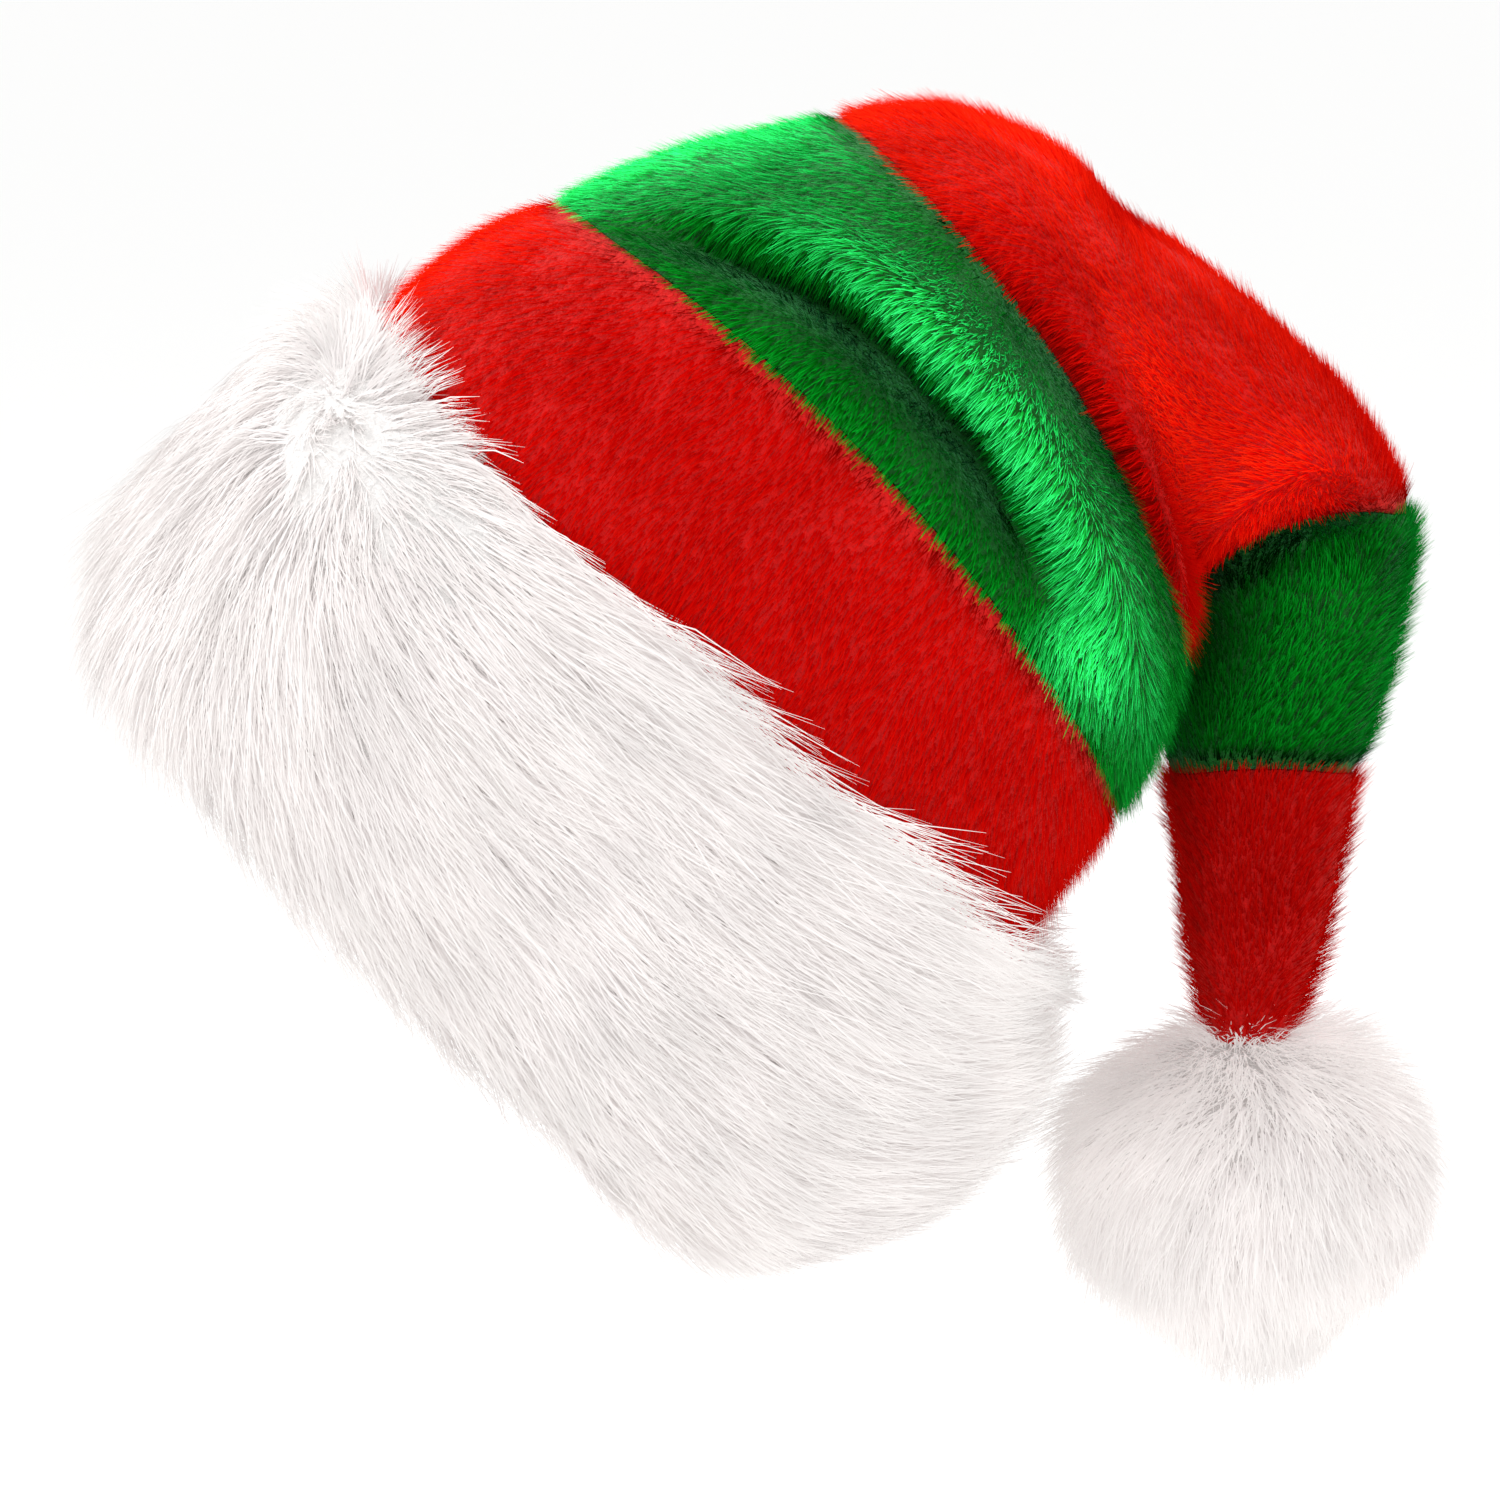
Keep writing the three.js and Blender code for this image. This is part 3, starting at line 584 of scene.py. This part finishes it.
# The pompom's strands glow more: painted light that lifts the shade on the ball's top
whiteStrand, ballStrand = (
    strandMaterial(name, whiteLook, roughness=0.9, sheen=0.03, sheenTint=(1, 0.97, 0.97), paintedGlow=paintedGlow)
    for name, paintedGlow in (("whiteStrand", 0.42), ("pompomStrand", 0.52))
)

# Cloth bands and their pile

redCloth = {"base": redBase, "back": redBack, "pile": redPile, "slot": "red_plush"}
greenCloth = {"base": greenBase, "back": greenBack, "pile": greenPile, "slot": "green_plush"}
# Rows that a band runs between, the row its pile starts at, its strands and its flat size in metres
bands = [
    {"node": "crown_band_1_red", "from": 0, "to": firstGreenRow, "pileFrom": 1.75,
     "count": 55000, "flat": (0.62, 0.15), **redCloth},
    {"node": "crown_band_2_green", "from": firstGreenRow, "to": secondRedRow, "pileFrom": firstGreenRow,
     "count": 64000, "flat": (0.60, 0.08), **greenCloth},
    {"node": "crown_band_3_red", "from": secondRedRow, "to": tailRow, "pileFrom": secondRedRow,
     "count": 80000, "flat": (0.35, 0.115), **redCloth},
    {"node": "tail_band_4_green", "from": tailRow, "to": lastRedRow, "pileFrom": tailRow,
     "count": 24500, "flat": (0.19, 0.07), **greenCloth},
    {"node": "tail_band_5_red", "from": lastRedRow, "to": lastRow, "pileFrom": lastRedRow,
     "count": 13000, "flat": (0.15, 0.08), **redCloth},
]
weave = {
    "crownSteps": 96, "tailSteps": 64, "ringsPerRow": 10,
    "gapRows": 0.008,  # half the gap at a seam, in rows
    "seamRows": 0.14, "seamTuck": 1.0 * mm,  # how far from a seam the cloth dips, and how deep
    "foldUnit": 0.075,  # the fold depth, as a share of the crown's, that gives a painted shade of 1
}
pile = {
    "steps": 144, "ringsPerRow": 16,
    "droop": 0.25,  # how far the nap turns down from the line along the hat
    "seamTrim": 0.6,  # how much shorter the pile is where a band starts
    "firstSeed": 11,
}
pileShape = {
    "Length": 6 * mm, "Width": 0.45 * mm, "Sink": 1.2 * mm, "Rise": 0.95, "Fall": 0.3,
    "Flow Scatter": 0.9, "Flow Scale": 45.0, "Stray": 0.25, "Clump": 0.45, "Clump Scale": 300.0,
    "Sway": 0.0, "Tilt": 1.2, "Steps": 2,
}
# Painted highlights and painted shade on the pile: row, angle, their spreads, and the amount, below 0 for a
# painted highlight
paintedLightPatches = [
    (4.75, 127, 0.55, 10, -0.6),
    (5.5, 2, 1.6, 22, -0.5),
    (2.9, 2, 1.3, 18, -0.35),
    (9.0, 10, 2.2, 38, -0.4),
    (10.2, 80, 1.5, 30, -0.35),
    (7.12, 92, 0.13, 38, 0.15),
    (13.35, 128, 0.3, 30, 0.8),
    (14.5, 135, 1.6, 32, 0.4),
    (17.6, 90, 1.6, 95, 0.3),
]
seamShade, seamShadeRows = 0.7, 0.09


# Painted shade over the pile: the folds' valleys, the painted light patches and the seams; below 0 a painted
# highlight
def shadeAt(row, degrees):
    shade = foldDepth(row, degrees) / (weave["foldUnit"] * crown["depth"])
    for middle, angle, rowSpread, spread, amount in paintedLightPatches:
        turned = (degrees - angle + 180) % 360 - 180
        shade = shade + amount * hump((row - middle) / rowSpread) * hump(turned / spread)
    for seam in (firstGreenRow, secondRedRow, tailRow, lastRedRow):
        shade = shade + seamShade * hump((row - seam) / seamShadeRows)
    return shade


def tuckAt(row, band):
    tuck = np.zeros_like(row)
    for seam in (band["from"], band["to"]):
        if 0 < seam < lastRow:
            tuck = tuck + hump((row - seam) / weave["seamRows"])
    return tuck * weave["seamTuck"]


def bandSurface(rowList, degrees, band, sink):
    row = np.asarray(rowList)[:, None]
    up, out = clothDirections(row, degrees)
    tuck = tuckAt(np.broadcast_to(row, up.shape[:2]), band)[..., None] if sink == 0 else 0
    return clothPoint(row, degrees) - out * (tuck + sink), up, out


def turnOf(steps):  # angles once round, in degrees
    return (np.arange(steps) * 360 / steps)[None, :]


def makeCloth(band):
    steps = weave["crownSteps"] if band["to"] <= tailRow else weave["tailSteps"]
    degrees = turnOf(steps)
    rowCount = weave["ringsPerRow"] * (band["to"] - band["from"])
    hasTip = band["to"] == lastRow
    low = band["from"] + (weave["gapRows"] if band["from"] > 0 else 0)
    high = band["to"] - (0 if hasTip else weave["gapRows"])
    rowList = np.linspace(low, high, rowCount)
    outside = bandSurface(rowList, degrees, band, 0)[0]
    inside = bandSurface(rowList, degrees, band, crown["wall"])[0]
    rings = np.concatenate([outside[::-1], inside] if hasTip else [outside, inside[::-1]])
    points = rings.reshape(-1, 3)
    faces = ringFaces(len(rings), steps, not hasTip)
    side = [0 if i // steps < rowCount - 1 else 1 for i in range(len(faces))]  # 0 outside, 1 the back
    if hasTip:
        outerTip = outside[-1].mean(axis=0) + down * tail["tipRound"]
        innerTip = inside[-1].mean(axis=0) + down * (tail["tipRound"] - crown["wall"])
        points = np.vstack([points, [outerTip, innerTip]])
        faces += poleFaces(len(rings), steps)
        side += [0] * steps + [1] * steps
    cloth = meshObject(
        band["node"] + "_cloth", points, facingOut(points, faces), [band["base"], band["back"]], side
    )
    # The painted shade of folds, patches and seams, stored on the cloth as on the pile
    clothShade = shadeAt(rowList[:, None], degrees)
    clothShade = (clothShade[::-1] if hasTip else clothShade).reshape(-1)
    setPaintedShade(cloth, np.pad(clothShade, (0, len(points) - clothShade.size)))
    return cloth


def makePile(band, seed):
    rowList = np.linspace(band["pileFrom"], band["to"], pile["ringsPerRow"] * (band["to"] - band["from"]))
    degrees = turnOf(pile["steps"])
    ground, up, out = bandSurface(rowList, degrees, band, 0)
    made = meshObject(
        band["node"] + "_pile", ground.reshape(-1, 3), ringFaces(len(rowList), pile["steps"], False)
    )
    faceNormal = np.cross(ground[0, 1] - ground[0, 0], ground[1, 0] - ground[0, 0])
    if np.dot(faceNormal, out[0, 0]) < 0:
        made.data.flip_normals()
    atSeam = hump((rowList - band["from"]) / weave["seamRows"])[:, None, None] * (band["from"] > 0)
    setComb(made, unit(-up + pile["droop"] * down) * (1 - pile["seamTrim"] * atSeam))
    setPaintedShade(made, shadeAt(rowList[:, None], degrees))
    growStrands(made, band["count"], band["pile"], dict(pileShape, Seed=seed))
    return made


for place, band in enumerate(bands):
    clothPiece, pilePiece = makeCloth(band), makePile(band, pile["firstSeed"] + place)
    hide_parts(band["node"])
    for piece in (clothPiece, pilePiece):
        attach(piece, "root")
print("bands done")

# Fur cuff

cuff = {
    "loft": 23 * mm,
    "overhang": 2.5 * mm,  # how far the padding reaches below the crown's rim
    "gap": 0.3 * mm,  # to the cloth that it sits on
    "footInset": 2.5 * mm, "footLeast": 1.5 * mm,  # the foot lies under the solid's locks
    "steps": 160, "profileSteps": 22, "backSteps": 8,
    # Up as a share of the cuff's height, out as a share of its loft
    "profile": [
        (0.97, 0.34), (0.88, 0.72), (0.7, 0.98), (0.45, 1.07), (0.22, 1.03), (0.06, 0.8), (-0.02, 0.48),
    ],
    "rimLoft": 0.25, "rimTuck": 0.6,
    "furSteps": 91, "furRings": 34, "furPastTop": -0.02,
    "sampleFace": 40,  # the face that tells which way the fur's ground points
}
# Each half's angles, strands and seed
cuffHalves = {"front": (0, 180, 43000, 31), "back": (180, 360, 26000, 32)}
cuffShape = {
    "Length": 28 * mm, "Width": 0.45 * mm, "Sink": 1 * mm, "Rise": 0.44, "Fall": 0.38,
    "Flow Scatter": 0.8, "Flow Scale": 26.0, "Stray": 0.16, "Clump": 0.42, "Clump Scale": 95.0,
    "Sway": 0.07, "Tilt": 0.6, "Steps": 3,
}
# How the fur is combed, by millimetres across the cuff from its left end
cuffFlow = {
    "places": [-140, -125, -113, -100, -80, -40, 20, 70, 105, 130],
    "top": [-190, -225, -300, -350, -400, -394, -389, -375, -352, -340],  # headings in degrees
    "middle": [-140, -132, -105, -70, -52, -42, -35, -22, 0, 8],
    "foot": [-150, -140, -124, -104, -80, -63, -56, -44, -24, -14],
    "middleHeight": 0.72, "topBlend": 0.22,  # shares of the cuff's height
    "sizePlaces": [-140, -118, -85, -50, 30, 75, 110, 130],
    "sizes": [0.95, 0.8, 0.85, 1, 1, 0.95, 0.8, 0.7],
    "whorl": (-111.6, 0.76), "whorlSpread": (9, 0.1), "whorlJitter": 2,
    "leastOut": 0.05, "mostOut": 0.35,  # how far the comb may point out of the cuff
}
# Longer or shorter fur: amount, where it sets in across and over what span, and the same up the cuff
cuffTrims = [
    (-0.5, [(-40, -40)], (0.5, 0.3)),
    (-0.6, [(75, 35)], (0.35, -0.3)),
    (-0.4, [(80, 35)], (0.7, 0.2)),
    (0.4, [(-100, 30), (75, -40)], (0.7, 0.2)),
]
cuffCurve = splineOf([(up, out, 0) for up, out in cuff["profile"]])
chooser = np.random.default_rng(7)


def cuffPoint(height, out, degrees):
    height, out = np.asarray(height, float)[..., None], np.asarray(out, float)[..., None]
    onCloth = np.maximum(height, 0)
    up, outward = clothDirections(onCloth[..., 0] * cuffTopRow, degrees)
    below = up * (height - onCloth) * crown["cuffHeight"]
    return clothPoint(onCloth[..., 0] * cuffTopRow, degrees) + outward * out + below


def cuffLift(curve):  # out from the cloth to the foot of the fur
    return np.maximum(curve * cuff["loft"] - cuff["footInset"], cuff["footLeast"])


def cuffComb(place, out):
    s = (place @ across) / mm
    h = np.clip((place @ axis) / crown["cuffHeight"], 0, 1)
    middle, topBlend = cuffFlow["middleHeight"], cuffFlow["topBlend"]
    near = {
        "top": smooth((h - middle) / topBlend),
        "middle": smooth(h / middle) * smooth((middle + topBlend - h) / topBlend),
        "foot": smooth((middle - h) / middle),
    }
    flow = 0
    for level, share in near.items():
        leads = np.radians(cuffFlow[level])
        x, z = (np.interp(s, cuffFlow["places"], part(leads)) for part in (np.cos, np.sin))
        flow = flow + unit(np.stack([x, np.zeros_like(s), z], axis=-1)) * share[..., None]
    flow = unit(flow)
    along = np.sum(flow * out, axis=-1, keepdims=True)
    size = np.interp(s, cuffFlow["sizePlaces"], cuffFlow["sizes"])
    for amount, sides, (level, rise) in cuffTrims:
        share = amount * smooth((h - level) / rise)
        for start, span in sides:
            share = share * smooth((s - start) / span)
        size = size * (1 + share)
    (whorlS, whorlH), (spreadS, spreadH) = cuffFlow["whorl"], cuffFlow["whorlSpread"]
    whorl = (hump((s - whorlS) / spreadS) * hump((h - whorlH) / spreadH))[..., None]
    jitter = cuffFlow["whorlJitter"]
    flow = unit(flow + whorl * chooser.uniform(-jitter, jitter, flow.shape))
    outShare = np.clip(along, cuffFlow["leastOut"], cuffFlow["mostOut"])
    return unit(flow - out * (along - outShare)) * size[..., None]


rimEdge = -cuff["gap"] / crown["cuffHeight"]
rimFoot = -cuff["overhang"] / crown["cuffHeight"]
section = [(h / cuff["backSteps"], cuff["gap"]) for h in range(cuff["backSteps"] + 1)]
section += [(up, cuffLift(out)) for up, out, _ in cuffCurve(np.linspace(0, 1, cuff["profileSteps"]))]
section += [
    (rimEdge + rimFoot, cuff["loft"] * cuff["rimLoft"]),
    (rimFoot, -crown["wall"] * cuff["rimTuck"]),
    (rimEdge, -crown["wall"]),
    (rimEdge, cuff["gap"]),
]
heights, outs = (
    np.repeat(np.array(column)[:, None], cuff["steps"], axis=1) for column in zip(*section)
)
ringPoints = cuffPoint(heights, outs, turnOf(cuff["steps"])).reshape(-1, 3)
cuffFaces = facingOut(ringPoints, ringFaces(len(section), cuff["steps"], True))
cuffBack = meshObject("fur_cuff_foot", ringPoints, cuffFaces, [whiteBase])
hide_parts("fur_cuff")
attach(cuffBack, "root")

share = np.linspace(cuff["furPastTop"], 1, cuff["furRings"])
count = cuff["furSteps"]
furFaces = [
    (r * count + s, r * count + s + 1, (r + 1) * count + s + 1, (r + 1) * count + s)
    for r in range(len(share) - 1)
    for s in range(count - 1)
]
curve = cuffCurve(np.clip(share, 0, 1))
high = np.repeat(curve[:, 0:1] - (share - np.clip(share, 0, 1))[:, None], count, axis=1)
far = np.repeat(cuffLift(curve[:, 1:2]), count, axis=1)
for side, (start, end, strands, seed) in cuffHalves.items():
    turn = np.linspace(start, end, count)[None, :]
    ground = cuffPoint(high, far, turn)
    fur = meshObject("fur_cuff_strands_" + side, ground.reshape(-1, 3), furFaces)
    ringWay, turnWay = ground[1:, :-1] - ground[:-1, :-1], ground[:-1, 1:] - ground[:-1, :-1]
    outward = unit(np.cross(ringWay, turnWay))
    clothOut = clothDirections(np.clip(high, 0, 1) * cuffTopRow, turn)[1]
    if np.sum(outward * clothOut[:-1, :-1]) < 0:
        outward = -outward
    outward = np.pad(outward, ((0, 1), (0, 1), (0, 0)), mode="edge")
    sample = cuff["sampleFace"]
    if np.dot(fur.data.polygons[sample].normal, outward.reshape(-1, 3)[sample]) < 0:
        fur.data.flip_normals()
    setComb(fur, cuffComb(ground, outward))
    growStrands(fur, strands, whiteStrand, dict(cuffShape, Seed=seed))
    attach(fur, "root")
print("cuff done")

# Pompom

pompom = {
    "width": 90 * mm, "height": 77 * mm,
    "socketDepth": 10 * mm,  # how far the tail's tip goes in
    "footShare": 0.93,  # the foot's size, as a share of the solid's
    "steps": 96, "rings": 44, "firstRing": 4,  # degrees from a pole
    "strands": 35000, "seed": 51, "sampleFace": 500,
    "hangFrom": 120, "hangSpan": 50,  # degrees from the top where the fur turns straight down
    "trim": 0.3, "trimFrom": 105, "trimSpan": 60,  # shorter below, so that the ball stays round
}
ballShape = {
    "Length": 15 * mm, "Width": 0.45 * mm, "Sink": 1 * mm, "Rise": 0.9, "Fall": 0.35,
    "Flow Scatter": 1.3, "Flow Scale": 30.0, "Stray": 0.3, "Clump": 0.5, "Clump Scale": 130.0,
    "Sway": 0.07, "Tilt": 0.9, "Steps": 3,
}
tipPoint = (clothPoint(lastRow, 0.0) + clothPoint(lastRow, 180.0)) / 2
ballCentre = tipPoint + down * (tail["tipRound"] - pompom["socketDepth"] + pompom["height"] / 2)
ballSize = np.array([pompom["width"], pompom["width"], pompom["height"]]) / 2
polar = np.linspace(pompom["firstRing"], 180 - pompom["firstRing"], pompom["rings"])[:, None]
bend, turn = np.radians(polar), np.radians(turnOf(pompom["steps"]))
ball = np.stack(
    [np.sin(bend) * np.cos(turn), np.sin(bend) * np.sin(turn), np.cos(bend) * np.ones_like(turn)], axis=-1
)
ground = ballCentre + ball * ballSize * pompom["footShare"]
ballPoints = ground.reshape(-1, 3)
ballFaces = ringFaces(pompom["rings"], pompom["steps"], False)
pole = down * ballSize[2] * pompom["footShare"]
footPoints = np.vstack([ballPoints, [ballCentre - pole, ballCentre + pole]])
footFaces = facingOut(footPoints, ballFaces + poleFaces(pompom["rings"], pompom["steps"]))
ballFoot = meshObject("pompom_foot", footPoints, footFaces, [whiteBase])
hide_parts("pompom")
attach(ballFoot, "root")

ballFur = meshObject("pompom_strands", ballPoints, ballFaces)
outward = unit((ground - ballCentre) / ballSize**2)
sample = pompom["sampleFace"]
if np.dot(ballFur.data.polygons[sample].normal, outward.reshape(-1, 3)[sample]) < 0:
    ballFur.data.flip_normals()
onward = unit(down - outward * np.sum(down * outward, axis=-1, keepdims=True))
hang = smooth((polar - pompom["hangFrom"]) / pompom["hangSpan"])[..., None]
size = 1 - pompom["trim"] * smooth((polar - pompom["trimFrom"]) / pompom["trimSpan"])[..., None]
setComb(ballFur, unit(onward * (1 - hang) + down * hang) * size)
growStrands(ballFur, pompom["strands"], ballStrand, dict(ballShape, Seed=pompom["seed"]))
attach(ballFur, "root")
print("pompom done")

# Floor, light and camera

studio = {
    "floorDrop": -0.3, "floorSide": 9, "floorBehind": 30,
    "floorColour": (0.93, 0.93, 0.925, 1),
    "worldLight": 1.05,
    "aim": (0.09, 0, 0.05),  # the lights look here
    "lights": {  # place, size, power
        "key": ((-0.6, -1.2, 2.2), 1.0, 24),
        "leftRim": ((-1.5, 0.9, 1.7), 0.8, 24),
        "rightRim": ((1.8, 0.9, 1.2), 0.8, 12),
        "fill": ((1.0, -2.2, 0.2), 1.2, 3),
    },
    "target": (0.0794, 0, 0.0429),  # the camera looks here
    "distance": 2.7, "elevation": 7, "frameWidth": 0.375, "sensor": 36, "farthest": 60,
}

wide, behind, low = studio["floorSide"], studio["floorBehind"], studio["floorDrop"]
floorPoints = [(-wide, -wide, low), (wide, -wide, low), (wide, behind, low), (-wide, behind, low)]
floor = meshObject("floor", floorPoints, [(0, 1, 2, 3)])
floorMaterial, _, floorShader = newMaterial("paleFloor", 0.9, 0, (1, 1, 1))
floorShader.inputs["Base Color"].default_value = studio["floorColour"]
floor.data.materials.append(floorMaterial)

world = bpy.data.worlds.new("studio")
bpy.context.scene.world = world
world.use_nodes = True
world.node_tree.nodes["Background"].inputs["Color"].default_value = white
world.node_tree.nodes["Background"].inputs["Strength"].default_value = studio["worldLight"]

for name, (place, size, power) in studio["lights"].items():
    light = bpy.data.lights.new(name, "AREA")
    light.shape = "DISK"
    light.size = size
    light.energy = power
    lamp = bpy.data.objects.new(name, light)
    bpy.context.scene.collection.objects.link(lamp)
    lamp.location = place
    lamp.rotation_euler = (Vector(studio["aim"]) - Vector(place)).to_track_quat("-Z", "Y").to_euler()

cameraData = bpy.data.cameras.new("camera")
camera = bpy.data.objects.new("camera", cameraData)
bpy.context.scene.collection.objects.link(camera)
elevation, target = math.radians(studio["elevation"]), Vector(studio["target"])
camera.location = target + Vector((0, -math.cos(elevation), math.sin(elevation))) * studio["distance"]
camera.rotation_euler = (target - camera.location).to_track_quat("-Z", "Y").to_euler()
cameraData.sensor_width = studio["sensor"]
cameraData.lens = studio["sensor"] * studio["distance"] / studio["frameWidth"]
cameraData.clip_end = studio["farthest"]
bpy.context.scene.camera = camera
bpy.context.scene.view_settings.view_transform = "Standard"
print("stage done")
